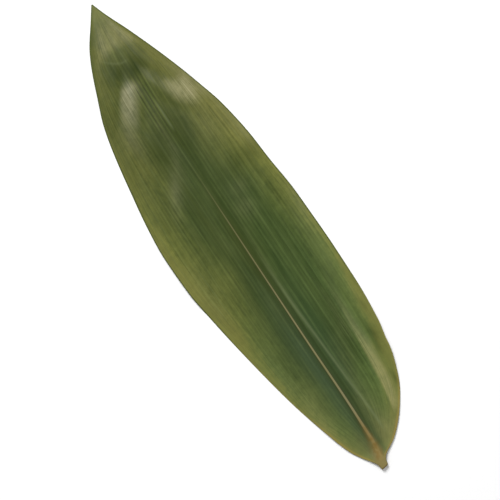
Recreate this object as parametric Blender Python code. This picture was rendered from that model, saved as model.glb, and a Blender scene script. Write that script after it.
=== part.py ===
"""A broad bamboo leaf, as picked, lying with its glossy upper face up.

The leaf grew as one piece: a short cut stalk, a midrib with a keel below, and a blade ribbed lengthwise by
side veins. X runs from the stalk to the tip, +Y is the half on the left of the midrib as seen from the
stalk, and the origin is on the surface that the leaf lies on, under the middle of its bounding box.
All sizes are in metres.
"""

import math

import bmesh
import bpy
import numpy as np

LEAF_NAME = "leaf"

# Outline: how far each margin stands from the leaf's straight axis, at a distance from the stalk's cut
LEAF_LENGTH = 0.2747
LEFT_MARGIN = (
    (0.0, 0.0016),
    (0.003, 0.0023),
    (0.006, 0.0043),
    (0.010, 0.0073),
    (0.016, 0.0108),
    (0.030, 0.0158),
    (0.051, 0.0220),
    (0.079, 0.0282),
    (0.107, 0.0334),
    (0.128, 0.0364),
    (0.149, 0.0372),
    (0.163, 0.0364),
    (0.184, 0.0338),
    (0.205, 0.0306),
    (0.219, 0.0276),
    (0.233, 0.0226),
    (0.247, 0.0172),
    (0.256, 0.0128),
    (0.268, 0.0045),
    (LEAF_LENGTH, -0.0001),
)
RIGHT_MARGIN = (
    (0.0, 0.0023),
    (0.003, 0.0030),
    (0.0055, 0.0048),
    (0.008, 0.0090),
    (0.010, 0.0121),
    (0.016, 0.0182),
    (0.023, 0.0238),
    (0.030, 0.0282),
    (0.037, 0.0312),
    (0.051, 0.0351),
    (0.054, 0.0354),
    (0.065, 0.0372),
    (0.086, 0.0384),
    (0.107, 0.0382),
    (0.128, 0.0374),
    (0.142, 0.0366),
    (0.163, 0.0342),
    (0.177, 0.0329),
    (0.198, 0.0292),
    (0.212, 0.0251),
    (0.233, 0.0178),
    (0.254, 0.0094),
    (0.268, 0.0032),
    (LEAF_LENGTH, 0.0007),
)
# The midrib sways a little to each side of the straight axis, and the blade is widest where it is this far
# from the margin
WIDEST = 0.037
MIDRIB_LINE = (
    (0.0, -0.0001),
    (0.016, -0.0021),
    (0.030, -0.0021),
    (0.075, -0.0011),
    (0.135, 0.0),
    (0.205, 0.0010),
    (LEAF_LENGTH, -0.0004),
)

# The ranges below give where along the leaf something fades in or out
BLADE_THICKNESS = 0.0007
STALK_THICKNESS = 0.0023
STALK_LENGTH = 0.0055
STALK_TO_BLADE = (0.0033, 0.0120)
STALK_CUT_SLANT = -0.19
KEEL_HALF_WIDTH = 0.0014
KEEL_TAPER = (0.0, 0.245)
MIDRIB_HEIGHT = 0.0004
MIDRIB_HALF_WIDTH = 0.0007
MIDRIB_STARTS = (0.004, 0.012)
MIDRIB_SINKS = (0.110, 0.190)

# Side veins run beside the midrib, and meet the margin one by one towards the tip. A lane is a line that
# they follow, from 0 at the midrib to 1 at the margin.
VEINS_EACH_SIDE = 9
VEIN_HEIGHT = 0.00020
VEIN_PITCH = 1 / (VEINS_EACH_SIDE + 1)
VEINS_START = (0.012, 0.030)
VEINS_SINK = (0.235, 0.262)
FIRST_VEIN_RISES = (0.04, 0.09)
LAST_VEIN_SINKS = (0.88, 0.98)
KEEL_LANES = (0.0, 0.02, 0.045)
LANES_TURN = (0.008, 0.045)
LANE_SPREAD_MOST = 2.0
LANE_POWER = 2.5

# The blade arches along the midrib, and each margin waves. Heights are above the surface the leaf lies
# on, and what would be under it is pressed flat. Both ends and the right margin's outer half stay clear of
# it, so the leaf rests on three low places: two of its left margin and one of its right margin.
ARCH_HEIGHT = 0.0048
VALLEY_DEPTH = 0.0011
VALLEY_HALF_WIDTH = 0.0050
VALLEY_STARTS = (0.006, 0.050)
DROOP_POWER = 2.2
LEFT_WAVES = (
    (0.0, 0.0),
    (0.022, 0.0007),
    (0.050, -0.0004),
    (0.078, -0.0018),
    (0.096, -0.0016),
    (0.124, 0.0010),
    (0.150, 0.0008),
    (0.184, -0.0016),
    (0.204, -0.0012),
    (0.232, 0.0006),
    (LEAF_LENGTH, 0.0),
)
RIGHT_WAVES = (
    (0.0, 0.0),
    (0.016, 0.0007),
    (0.045, 0.0014),
    (0.072, 0.0006),
    (0.100, -0.0017),
    (0.118, -0.0016),
    (0.146, 0.0010),
    (0.172, -0.0013),
    (0.196, -0.0012),
    (0.226, 0.0009),
    (LEAF_LENGTH, 0.0),
)
EASE = 0.0003
EASE_CUT = 0.00008
CLEARANCE = 0.00015
STALK_CLEAR = (0.020, 0.040)
TIP_CLEAR = (0.215, 0.240)
RIGHT_CLEAR = (0.140, 0.165)
FLAT_UNDER_VEINS = 0.0006

# A pleat beside the midrib, and a fold along the right margin near the stalk
PLEAT_HEIGHT = 0.00045
PLEAT_HALF_WIDTH = 0.0022
PLEAT_STARTS = (0.010, 0.025)
PLEAT_SINKS = (0.090, 0.150)
PLEAT_LINE = ((0.0, -0.004), (0.018, -0.0100), (0.050, -0.0080), (0.095, -0.0050), (0.150, -0.0030))
FOLD_DEPTH = 0.0014
FOLD_HALF_WIDTH = 0.0042
FOLD_STARTS = (0.014, 0.034)
FOLD_SINKS = (0.060, 0.110)
FOLD_LINE = ((0.0, -0.012), (0.022, -0.0235), (0.040, -0.0275), (0.070, -0.0290), (0.120, -0.0290))

# Two waves cross the blade just short of the tip, bent back on each side of the midrib
TIP_WAVE_HEIGHT = 0.00065
TIP_WAVE_LENGTH = 0.026
TIP_WAVE_CREST = 0.2295
TIP_WAVE_SLANT = 1.3
TIP_WAVE_STARTS = (0.212, 0.234)
TIP_WAVE_RISES = (0.0, 0.009)

# Rows of the grid are closer together at both ends of the leaf
ROWS = 60
ROW_CROWDING = 0.5
LEAST_SPACING = 0.00028

LEAF_GREEN = (0.075, 0.115, 0.035, 1.0)
LEAF_ROUGHNESS = 0.42


def smooth_line(points):
    """The curve through the points that stays between them, as a function of the first coordinate."""
    xs, ys = np.array(points, float).T
    steps = np.diff(xs)
    chords = np.diff(ys) / steps
    product = chords[:-1] * chords[1:]
    total = np.where(product > 0, chords[:-1] + chords[1:], 1.0)
    inner = np.where(product > 0, 2 * product / total, 0.0)
    slopes = np.concatenate([chords[:1], inner, chords[-1:]])

    def curve(x):
        x = np.clip(x, xs[0], xs[-1])
        i = np.clip(np.searchsorted(xs, x, side="right") - 1, 0, len(steps) - 1)
        h = steps[i]
        s = (x - xs[i]) / h
        ends = ys[i] * (1 + 2 * s) * (1 - s) ** 2 + ys[i + 1] * s**2 * (3 - 2 * s)
        turns = slopes[i] * s * (1 - s) ** 2 - slopes[i + 1] * s**2 * (1 - s)
        return ends + h * turns

    return curve


def smooth_step(low, high, value):
    s = np.clip((value - low) / (high - low), 0, 1)
    return s * s * (3 - 2 * s)


def between(x, starts, sinks):
    """1 between the two ranges, easing to 0 outside them."""
    return smooth_step(*starts, x) * (1 - smooth_step(*sinks, x))


def bell(distance, half_width):
    return np.exp(-((distance / half_width) ** 2))


left_margin = smooth_line(LEFT_MARGIN)
right_margin = smooth_line(RIGHT_MARGIN)
midrib_line = smooth_line(MIDRIB_LINE)
pleat_line = smooth_line(PLEAT_LINE)
fold_line = smooth_line(FOLD_LINE)
left_waves = smooth_line(LEFT_WAVES)
right_waves = smooth_line(RIGHT_WAVES)


def half_width(x, side):
    """From the midrib to the margin on that side, +1 for the left one and -1 for the right one."""
    return np.where(side > 0, left_margin(x) - midrib_line(x), right_margin(x) + midrib_line(x))


def lane_share(v, x, side):
    """The share of the half width where the lane v lies. Lanes fan out of the stalk, run on beside the
    midrib where the blade narrows towards the tip, and are pressed together at the margin there."""
    narrowed = np.minimum(WIDEST / half_width(x, side), LANE_SPREAD_MOST)
    spread = 1 + (narrowed - 1) * smooth_step(*LANES_TURN, x)
    return v * spread / (1 + (spread**LANE_POWER - 1) * v**LANE_POWER) ** (1 / LANE_POWER)


def free_height(x, y, share, side):
    """How high the blade's underside would lie if the surface below didn't hold it up."""
    from_midrib = share * half_width(x, side)
    arch = ARCH_HEIGHT * np.sin(math.pi * np.clip(x / LEAF_LENGTH, 0, 1))
    margin = np.where(side > 0, left_waves(x), right_waves(x))
    sheet = arch + (margin - arch) * share**DROOP_POWER
    beside_midrib = (1 - bell(from_midrib, VALLEY_HALF_WIDTH)) * (1 - share**DROOP_POWER)
    valley = VALLEY_DEPTH * beside_midrib * smooth_step(*VALLEY_STARTS, x)
    pleat = PLEAT_HEIGHT * bell(y - pleat_line(x), PLEAT_HALF_WIDTH) * between(x, PLEAT_STARTS, PLEAT_SINKS)
    fold = FOLD_DEPTH * bell(y - fold_line(x), FOLD_HALF_WIDTH) * between(x, FOLD_STARTS, FOLD_SINKS)
    front = x + TIP_WAVE_SLANT * from_midrib
    wave = TIP_WAVE_HEIGHT * np.cos(2 * math.pi * (front - TIP_WAVE_CREST) / TIP_WAVE_LENGTH)
    waved = smooth_step(*TIP_WAVE_STARTS, front) * smooth_step(*TIP_WAVE_RISES, from_midrib)
    return sheet + valley + pleat - fold + wave * waved


def clearance(x, share, side):
    """How far the places that the leaf doesn't rest on stay off the surface."""
    ends = 1 - between(x, STALK_CLEAR, TIP_CLEAR)
    right = np.where(side > 0, 0, smooth_step(*RIGHT_CLEAR, x) * share**2)
    return CLEARANCE * np.maximum(ends, right)


def settled(height):
    """What would sink through the surface lies flat on it, with an eased bend at its edge."""
    eased = 0.5 * (height + np.sqrt(height**2 + EASE**2)) - EASE_CUT
    return np.maximum(eased, 0)


def vein_relief(x, v, share):
    """Side veins stand up from the blade, and fade out at its margin and at both of its ends."""
    ridges = 0.5 + 0.5 * np.cos(2 * math.pi * v / VEIN_PITCH)
    across = smooth_step(*FIRST_VEIN_RISES, v) * (1 - smooth_step(*LAST_VEIN_SINKS, share))
    return VEIN_HEIGHT * ridges * across * between(x, VEINS_START, VEINS_SINK)


def surface_point(x, v, side):
    """The upper face's point in lane v, at x from the cut stalk, and the lower face's height under it."""
    share = lane_share(v, x, side)
    from_midrib = share * half_width(x, side)
    y = midrib_line(x) + side * from_midrib
    free = free_height(x, y, share, side)
    clear = clearance(x, share, side)
    lift = settled(free) + clear
    ribs = vein_relief(x, v, share)
    ribs_below = ribs * smooth_step(0, FLAT_UNDER_VEINS, lift)
    midrib = MIDRIB_HEIGHT * bell(from_midrib, MIDRIB_HALF_WIDTH) * between(x, MIDRIB_STARTS, MIDRIB_SINKS)
    # The stalk adds to the blade by a rounded amount above and below, and the keel only below
    in_stalk = 1 - smooth_step(*STALK_TO_BLADE, x)
    added = STALK_THICKNESS - BLADE_THICKNESS
    round_edge = np.sqrt(np.clip(1 - share**2, 0, 1))
    below_middle = 0.5 * added * in_stalk * (1 - round_edge)
    above_middle = 0.5 * added * in_stalk * (1 + round_edge)
    keel = added * (1 - in_stalk) * bell(from_midrib, KEEL_HALF_WIDTH) * (1 - smooth_step(*KEEL_TAPER, x))
    lower = settled(free + ribs_below - keel) + clear + below_middle
    upper = lift + BLADE_THICKNESS + ribs + midrib + above_middle
    slant = STALK_CUT_SLANT * y * (1 - smooth_step(0, STALK_LENGTH, x))
    return np.array([x + slant, y, upper]), lower


def column_lanes():
    """The grid's lanes from the right margin to the left one: the keel's, then each vein and its furrow."""
    veins = np.linspace(VEIN_PITCH, 1, 2 * VEINS_EACH_SIDE + 1)
    half = np.concatenate([KEEL_LANES, veins])
    return np.concatenate([-half[:0:-1], half])


def row_places():
    share = np.linspace(0, 1, ROWS + 1)
    return LEAF_LENGTH * (share - ROW_CROWDING * np.sin(2 * math.pi * share) / (2 * math.pi))


def leaf_mesh():
    """The upper face is a grid of triangles, and the lower one its copy below, so they never cross."""
    lanes, rows = column_lanes(), row_places()
    grid = bmesh.new()
    bmesh.ops.create_grid(grid, x_segments=ROWS, y_segments=len(lanes) - 1, size=0.5)
    lower_layer = grid.verts.layers.float.new("lower")
    for vert in grid.verts:
        x = rows[round((vert.co.x + 0.5) * ROWS)]
        lane = lanes[round((vert.co.y + 0.5) * (len(lanes) - 1))]
        point, lower = surface_point(x, abs(lane), 1.0 if lane >= 0 else -1.0)
        vert.co = point
        vert[lower_layer] = float(lower)
    bmesh.ops.remove_doubles(grid, verts=grid.verts, dist=LEAST_SPACING)
    bmesh.ops.triangulate(grid, faces=grid.faces, quad_method="SHORT_EDGE")
    made = bmesh.ops.extrude_face_region(grid, geom=list(grid.faces), use_keep_orig=True)
    for vert in made["geom"]:
        if isinstance(vert, bmesh.types.BMVert):
            vert.co.z = vert[lower_layer]
    bmesh.ops.triangulate(grid, faces=grid.faces)
    bmesh.ops.recalc_face_normals(grid, faces=grid.faces)
    mesh = bpy.data.meshes.new(LEAF_NAME)
    grid.to_mesh(mesh)
    grid.free()
    return mesh


def leaf_material():
    material = bpy.data.materials.new("leaf_green")
    material.use_nodes = True
    shader = material.node_tree.nodes["Principled BSDF"]
    shader.inputs["Base Color"].default_value = LEAF_GREEN
    shader.inputs["Roughness"].default_value = LEAF_ROUGHNESS
    shader.inputs["Metallic"].default_value = 0.0
    return material


def build_leaf(collection):
    mesh = leaf_mesh()
    mesh.materials.append(leaf_material())
    mesh.shade_smooth()
    mesh.set_sharp_from_angle(angle=math.radians(60))
    leaf = bpy.data.objects.new(LEAF_NAME, mesh)
    collection.objects.link(leaf)
    return leaf


def centre_on_base(leaf):
    """Moves the mesh so that the middle of its bounding box's base is at the origin."""
    points = np.array([vert.co for vert in leaf.data.vertices])
    middle = (points.min(axis=0) + points.max(axis=0)) / 2
    for vert in leaf.data.vertices:
        vert.co.x -= middle[0]
        vert.co.y -= middle[1]


def main():
    for old in list(bpy.data.objects):
        bpy.data.objects.remove(old, do_unlink=True)
    collection = bpy.data.collections.new("bamboo_leaf")
    bpy.context.scene.collection.children.link(collection)
    centre_on_base(build_leaf(collection))


main()
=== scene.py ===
"""The dressed bamboo leaf: a fine mesh in the form of its CAD solid, with veins, a waxy skin and colour."""

import math
from types import SimpleNamespace

import bpy
import numpy as np
from mathutils import Matrix, Vector


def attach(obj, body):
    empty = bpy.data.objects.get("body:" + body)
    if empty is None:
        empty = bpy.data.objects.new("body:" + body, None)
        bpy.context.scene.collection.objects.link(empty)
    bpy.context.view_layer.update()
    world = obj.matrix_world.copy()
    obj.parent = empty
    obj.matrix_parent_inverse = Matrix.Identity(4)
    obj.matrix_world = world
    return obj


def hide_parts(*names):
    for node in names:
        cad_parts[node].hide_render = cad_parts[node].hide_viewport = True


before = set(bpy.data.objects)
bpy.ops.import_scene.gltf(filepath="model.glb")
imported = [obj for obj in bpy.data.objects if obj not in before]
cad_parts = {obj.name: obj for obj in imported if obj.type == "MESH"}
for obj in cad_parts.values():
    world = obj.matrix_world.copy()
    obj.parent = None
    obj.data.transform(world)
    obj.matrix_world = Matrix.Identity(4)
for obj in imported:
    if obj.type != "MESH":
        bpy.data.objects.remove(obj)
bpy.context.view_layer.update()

# The leaf's form, with the values of its CAD source, in metres
LEAF_LENGTH = 0.2747
LEFT_MARGIN = (
    (0.0, 0.0016),
    (0.003, 0.0023),
    (0.006, 0.0043),
    (0.010, 0.0073),
    (0.016, 0.0108),
    (0.030, 0.0158),
    (0.051, 0.0220),
    (0.079, 0.0282),
    (0.107, 0.0334),
    (0.128, 0.0364),
    (0.149, 0.0372),
    (0.163, 0.0364),
    (0.184, 0.0338),
    (0.205, 0.0306),
    (0.219, 0.0276),
    (0.233, 0.0226),
    (0.247, 0.0172),
    (0.256, 0.0128),
    (0.268, 0.0045),
    (LEAF_LENGTH, -0.0001),
)
RIGHT_MARGIN = (
    (0.0, 0.0023),
    (0.003, 0.0030),
    (0.0055, 0.0048),
    (0.008, 0.0090),
    (0.010, 0.0121),
    (0.016, 0.0182),
    (0.023, 0.0238),
    (0.030, 0.0282),
    (0.037, 0.0312),
    (0.051, 0.0351),
    (0.054, 0.0354),
    (0.065, 0.0372),
    (0.086, 0.0384),
    (0.107, 0.0382),
    (0.128, 0.0374),
    (0.142, 0.0366),
    (0.163, 0.0342),
    (0.177, 0.0329),
    (0.198, 0.0292),
    (0.212, 0.0251),
    (0.233, 0.0178),
    (0.254, 0.0094),
    (0.268, 0.0032),
    (LEAF_LENGTH, 0.0007),
)
WIDEST = 0.037
MIDRIB_LINE = (
    (0.0, -0.0001),
    (0.016, -0.0021),
    (0.030, -0.0021),
    (0.075, -0.0011),
    (0.135, 0.0),
    (0.205, 0.0010),
    (LEAF_LENGTH, -0.0004),
)
CAD_BLADE = 0.0007
STALK_THICKNESS = 0.0023
STALK_LENGTH = 0.0055
STALK_TO_BLADE = (0.0033, 0.0120)
STALK_CUT_SLANT = -0.19
KEEL_HALF_WIDTH = 0.0014
KEEL_TAPER = (0.0, 0.245)
MIDRIB_HEIGHT = 0.0004
MIDRIB_HALF_WIDTH = 0.0007
MIDRIB_STARTS = (0.004, 0.012)
MIDRIB_SINKS = (0.110, 0.190)
VEIN_PITCH = 0.1
VEINS_START = (0.012, 0.030)
VEINS_SINK = (0.235, 0.262)
FIRST_VEIN_RISES = (0.04, 0.09)
LAST_VEIN_SINKS = (0.88, 0.98)
LANES_TURN = (0.008, 0.045)
LANE_SPREAD_MOST = 2.0
LANE_POWER = 2.5
ARCH_HEIGHT = 0.0048
VALLEY_DEPTH = 0.0011
VALLEY_HALF_WIDTH = 0.0050
VALLEY_STARTS = (0.006, 0.050)
DROOP_POWER = 2.2
LEFT_WAVES = (
    (0.0, 0.0),
    (0.022, 0.0007),
    (0.050, -0.0004),
    (0.078, -0.0018),
    (0.096, -0.0016),
    (0.124, 0.0010),
    (0.150, 0.0008),
    (0.184, -0.0016),
    (0.204, -0.0012),
    (0.232, 0.0006),
    (LEAF_LENGTH, 0.0),
)
RIGHT_WAVES = (
    (0.0, 0.0),
    (0.016, 0.0007),
    (0.045, 0.0014),
    (0.072, 0.0006),
    (0.100, -0.0017),
    (0.118, -0.0016),
    (0.146, 0.0010),
    (0.172, -0.0013),
    (0.196, -0.0012),
    (0.226, 0.0009),
    (LEAF_LENGTH, 0.0),
)
EASE = 0.0003
EASE_CUT = 0.00008
CLEARANCE = 0.00015
STALK_CLEAR = (0.020, 0.040)
TIP_CLEAR = (0.215, 0.240)
RIGHT_CLEAR = (0.140, 0.165)
FLAT_UNDER_VEINS = 0.0006
PLEAT_HEIGHT = 0.00045
PLEAT_HALF_WIDTH = 0.0022
PLEAT_STARTS = (0.010, 0.025)
PLEAT_SINKS = (0.090, 0.150)
PLEAT_LINE = ((0.0, -0.004), (0.018, -0.0100), (0.050, -0.0080), (0.095, -0.0050), (0.150, -0.0030))
FOLD_DEPTH = 0.0014
FOLD_HALF_WIDTH = 0.0042
FOLD_STARTS = (0.014, 0.034)
FOLD_SINKS = (0.060, 0.110)
FOLD_LINE = ((0.0, -0.012), (0.022, -0.0235), (0.040, -0.0275), (0.070, -0.0290), (0.120, -0.0290))
TIP_WAVE_HEIGHT = 0.00065
TIP_WAVE_LENGTH = 0.026
TIP_WAVE_CREST = 0.2295
TIP_WAVE_SLANT = 1.3
TIP_WAVE_STARTS = (0.212, 0.234)
TIP_WAVE_RISES = (0.0, 0.009)

# What only the fine mesh has. Its tip wave is lower than the CAD one and sinks towards the tip.
TIP_WAVE_SHARE = 0.75
TIP_WAVE_LOSES = 0.60
TIP_WAVE_CALMS = (0.241, 0.251)
ROWS = 260
COLUMNS_EACH_SIDE = 94
ROW_CROWDING = 0.35
BLADE = 0.00042
EDGE = 0.00018
EDGE_WIDTH = 0.0012
RIB_HEIGHT = 0.00004
RIB_CREST_HEIGHT = 0.00003
RIB_CREST_WIDTH = 0.07
SWELL_HEIGHT = 0.00009
SWELL_SEED = 7
SWELL_WAVES = 14
SWELL_LENGTHS = (0.018, 0.060)
SWELL_WIDTHS = (0.008, 0.022)
SWELLS_START = (0.008, 0.040)
SWELLS_KEEP_OFF_MARGIN = (0, 0.003)
SHARP_DEGREES = 50
MM = 1000

# The texture map: where the upper face, the underside and the rim lie, as shares of its side
MAP_START = 0.01
MAP_LENGTH = 0.98
TOP_MIDDLE = 0.755
TOP_REACH = 0.235
UNDER_MIDDLE = 0.235
UNDER_REACH = 0.225
RIM_FOOT = 0.472
RIM_STEP = 0.010
RIM_DEPTH = 0.007
END_START = 0.05
END_LENGTH = 0.2

# Colour zones: places along the leaf, and shares of the way from the midrib to the margin
LEFT_OLIVE_STARTS = (
    (0.0, 0.0),
    (0.035, 0.0),
    (0.065, 0.16),
    (0.115, 0.16),
    (0.150, 0.34),
    (0.182, 0.05),
    (LEAF_LENGTH, 0.0),
)
LEFT_OLIVE_MOST = (
    (0.0, 1.20),
    (0.060, 1.10),
    (0.100, 1.22),
    (0.122, 1.35),
    (0.150, 0.95),
    (0.165, 0.74),
    (0.190, 0.68),
    (0.225, 0.56),
    (LEAF_LENGTH, 0.70),
)
RIGHT_OLIVE_STARTS = (
    (0.0, 0.0),
    (0.035, 0.0),
    (0.055, 0.36),
    (0.080, 0.50),
    (0.150, 0.45),
    (0.185, 0.10),
    (LEAF_LENGTH, 0.0),
)
RIGHT_OLIVE_MOST = (
    (0.0, 1.25),
    (0.045, 1.28),
    (0.075, 1.30),
    (0.095, 1.00),
    (0.150, 0.98),
    (0.190, 1.05),
    (LEAF_LENGTH, 0.9),
)
OLIVE_POWER = 1.35
TIP_OLIVE = 0.30
TIP_OLIVE_RISES = (0.165, 0.235)
# The band of painted sheen on the fold by the stalk
BAND_LINE = (
    (0.0, -0.0150),
    (0.022, -0.0208),
    (0.031, -0.0225),
    (0.044, -0.0237),
    (0.056, -0.0245),
    (0.075, -0.0257),
    (0.130, -0.0268),
)
BAND_STARTS = (0.019, 0.026)
BAND_SINKS = (0.046, 0.104)
BAND_FOOT = -0.0050
BAND_NARROWS_BY = 0.0022
BAND_NARROWS = (0.055, 0.072)
BAND_FOOT_WIDTH = 0.0048
BAND_TOP = (0.0011, 0.0025)
FOLD_SHEEN_STRENGTH = 0.95
# A thin painted highlight on an arc across the tip
ARC_FOOT = (0.2414, 0.0005)
ARC_BEND = 60.0
ARC_HALF_WIDTH = 0.0006
ARC_STARTS = (-0.0015, 0.001)
ARC_ENDS = (0.009, 0.012)
ARC_HIGHLIGHT_STRENGTH = 0.22

# The tip's patches of painted sheen: where each begins and ends along the leaf, by how far it is across
LEFT_SHEEN_BEGINS = (
    (0.0, 0.2260),
    (0.00375, 0.2230),
    (0.0075, 0.2185),
    (0.0105, 0.2130),
    (0.0135, 0.2100),
    (0.0185, 0.2085),
)
LEFT_SHEEN_ENDS = (
    (0.0, 0.2295),
    (0.005, 0.2310),
    (0.009, 0.2300),
    (0.0135, 0.2255),
    (0.0160, 0.2220),
    (0.0190, 0.2170),
)
RIGHT_SHEEN_BEGINS = ((0.006, 0.2175), (0.0130, 0.2090), (0.0190, 0.2065), (0.0230, 0.2065))
RIGHT_SHEEN_ENDS = ((0.006, 0.2265), (0.0110, 0.2220), (0.0160, 0.2190), (0.0210, 0.2190))
LEFT_SHEEN_SOFTNESS = ((-0.0045, 0.0085), (-0.0032, 0.0028))
LEFT_SHEEN_ACROSS = ((-0.0005, 0.0045), (0.0100, 0.0225))
LEFT_SHEEN_LOSES = 1.0
LEFT_SHEEN_STRENGTH = 1.02
RIGHT_SHEEN_SOFTNESS = ((-0.0045, 0.0060), (-0.0025, 0.0040))
RIGHT_SHEEN_ACROSS = ((0.0065, 0.0140), (0.0185, 0.0225))
RIGHT_SHEEN_LOSES = 0.7
RIGHT_SHEEN_STRENGTH = 1.10

# Painted sheen over the whole tip from a slanted edge on, half as much at its very end, and not along the
# margins
TIP_SHEEN_BEGINS = 0.2468
TIP_SHEEN_LEAN = -0.35
TIP_SHEEN_LEANS_FROM = 0.004
TIP_SHEEN_EDGE = 0.0062
TIP_SHEEN_SINKS = (0.2545, 0.2660)
TIP_SHEEN_LOSES = 0.50
TIP_SHEEN_STRENGTH = 0.62
LEFT_RIM_GREEN = (0.0020, 0.0065)
RIGHT_RIM_GREEN = (0.0005, 0.0030)

# Soft spots: their middle, their reach along and across, how far they lean along for each step out, strength.
# The pale ones are painted sheen.
SHEEN_SPOTS = (
    ((0.1722, 0.0142), (0.0058, 0.0060), -1.25, 0.28),
    ((0.185, 0.0062), (0.0050, 0.0013), 0.0, 0.10),
    ((0.119, 0.0285), (0.0150, 0.0050), 0.0, 0.24),
    ((0.035, 0.0148), (0.0200, 0.0055), 0.0, 0.34),
    ((0.064, 0.0188), (0.0160, 0.0036), 0.0, 0.13),
    ((0.082, -0.0212), (0.0100, 0.0022), 0.0, 0.15),
    ((0.191, 0.0035), (0.0050, 0.0016), 0.0, 0.16),
    ((0.037, -0.0250), (0.0080, 0.0025), 0.0, 0.15),
    ((0.022, -0.0105), (0.0150, 0.0050), 0.0, 0.17),
    ((0.034, -0.0075), (0.0110, 0.0022), 0.0, 0.10),
    ((0.064, -0.0150), (0.0120, 0.0045), 0.0, 0.12),
    ((0.206, 0.0188), (0.0085, 0.0040), 0.0, 0.26),
    ((0.202, 0.0035), (0.0060, 0.0015), 0.0, 0.12),
    ((0.148, -0.0110), (0.0060, 0.0050), 0.0, 0.18),
    ((0.194, -0.0180), (0.0120, 0.0070), 0.0, 0.12),
    ((0.217, -0.0215), (0.0110, 0.0050), 0.0, 0.42),
    ((0.194, -0.0290), (0.0160, 0.0042), 0.0, 0.26),
    ((0.132, -0.0355), (0.0180, 0.0024), 0.0, 0.26),
    ((0.222, -0.0200), (0.0060, 0.0030), 0.0, 0.25),
    ((0.015, -0.0130), (0.0060, 0.0060), 0.0, 0.28),
    ((0.070, -0.0215), (0.0060, 0.0040), 0.0, 0.14),
    ((0.052, -0.0110), (0.0160, 0.0030), 0.0, 0.12),
    ((0.119, 0.0250), (0.0120, 0.0060), 0.0, 0.06),
    ((0.158, -0.0140), (0.0035, 0.0045), 0.0, 0.16),
    ((0.118, -0.0048), (0.0280, 0.0012), 0.0, 0.12),
    ((0.180, -0.0315), (0.0070, 0.0020), 0.0, 0.25),
)
# The dark spots are mostly painted shade, where the blade turns from the light and in the tip wave's trough,
# partly a darker green tone
SHADE_SPOTS = (
    ((0.195, 0.0095), (0.0115, 0.0070), -0.6, 0.70),
    ((0.184, 0.0090), (0.0120, 0.0035), 0.0, 0.24),
    ((0.056, 0.0085), (0.0180, 0.0040), 0.0, 0.22),
    ((0.092, 0.0035), (0.0100, 0.0020), 0.0, 0.22),
    ((0.115, -0.0285), (0.0500, 0.0030), 0.0, 0.17),
    ((0.236, -0.0070), (0.0060, 0.0030), 0.0, 0.26),
    ((0.034, -0.0287), (0.0050, 0.0011), 0.55, 0.55),
    ((0.0595, -0.0320), (0.0045, 0.0014), 0.0, 0.30),
    ((0.075, -0.0348), (0.0040, 0.0012), 0.0, 0.30),
    ((0.202, 0.0072), (0.0050, 0.0018), 0.0, 0.22),
    ((0.213, 0.0050), (0.0045, 0.0028), 0.0, 0.32),
    ((0.147, 0.0105), (0.0140, 0.0018), 0.0, 0.14),
    ((0.174, 0.0075), (0.0080, 0.0022), 0.0, 0.16),
    ((0.174, -0.0105), (0.0080, 0.0020), 0.0, 0.14),
    ((0.130, 0.0035), (0.0140, 0.0018), 0.0, 0.16),
    ((0.091, 0.0070), (0.0250, 0.0050), 0.0, 0.08),
    ((0.180, -0.0120), (0.0080, 0.0045), 0.0, 0.20),
    ((0.163, -0.0280), (0.0100, 0.0030), 0.0, 0.12),
    ((0.169, -0.0220), (0.0050, 0.0150), 0.2, 0.45),
    ((0.140, 0.0), (0.0400, 0.0035), 0.0, 0.55),
    ((0.201, -0.0055), (0.0150, 0.0060), 0.0, 0.75),
    ((0.2260, -0.0090), (0.0060, 0.0028), 0.0, 0.45),
    ((0.162, 0.0270), (0.0100, 0.0060), 0.0, 0.36),
    ((0.125, 0.0105), (0.0550, 0.0022), 0.0, 0.18),
    ((0.133, -0.0070), (0.0280, 0.0025), 0.0, 0.24),
    ((0.159, 0.0100), (0.0140, 0.0035), -0.5, 0.35),
    ((0.2345, -0.0010), (0.0040, 0.0040), 0.0, 0.45),
    ((0.2375, 0.0046), (0.0062, 0.0070), 0.0, 0.88),
    ((0.2400, -0.0050), (0.0090, 0.0055), 0.0, 0.50),
    ((0.2385, 0.0130), (0.0080, 0.0035), 0.0, 0.25),
)


def smooth_line(points):
    """The curve through the points that stays between them, as a function of the first coordinate."""
    xs, ys = np.array(points, float).T
    steps = np.diff(xs)
    chords = np.diff(ys) / steps
    product = chords[:-1] * chords[1:]
    total = np.where(product > 0, chords[:-1] + chords[1:], 1.0)
    inner = np.where(product > 0, 2 * product / total, 0.0)
    slopes = np.concatenate([chords[:1], inner, chords[-1:]])

    def curve(x):
        x = np.clip(x, xs[0], xs[-1])
        i = np.clip(np.searchsorted(xs, x, side="right") - 1, 0, len(steps) - 1)
        h = steps[i]
        s = (x - xs[i]) / h
        ends = ys[i] * (1 + 2 * s) * (1 - s) ** 2 + ys[i + 1] * s**2 * (3 - 2 * s)
        turns = slopes[i] * s * (1 - s) ** 2 - slopes[i + 1] * s**2 * (1 - s)
        return ends + h * turns

    return curve


def smooth_step(low, high, value):
    """0 up to low, 1 from high, smooth between."""
    s = np.clip((value - low) / (high - low), 0, 1)
    return s * s * (3 - 2 * s)


def between(x, starts, sinks):
    """Rises from 0 to 1 over starts and falls back to 0 over sinks."""
    return smooth_step(*starts, x) * (1 - smooth_step(*sinks, x))


def bell(distance, reach):
    """1 in the middle, 0.37 at the reach, 0 far out."""
    return np.exp(-((distance / reach) ** 2))


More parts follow.
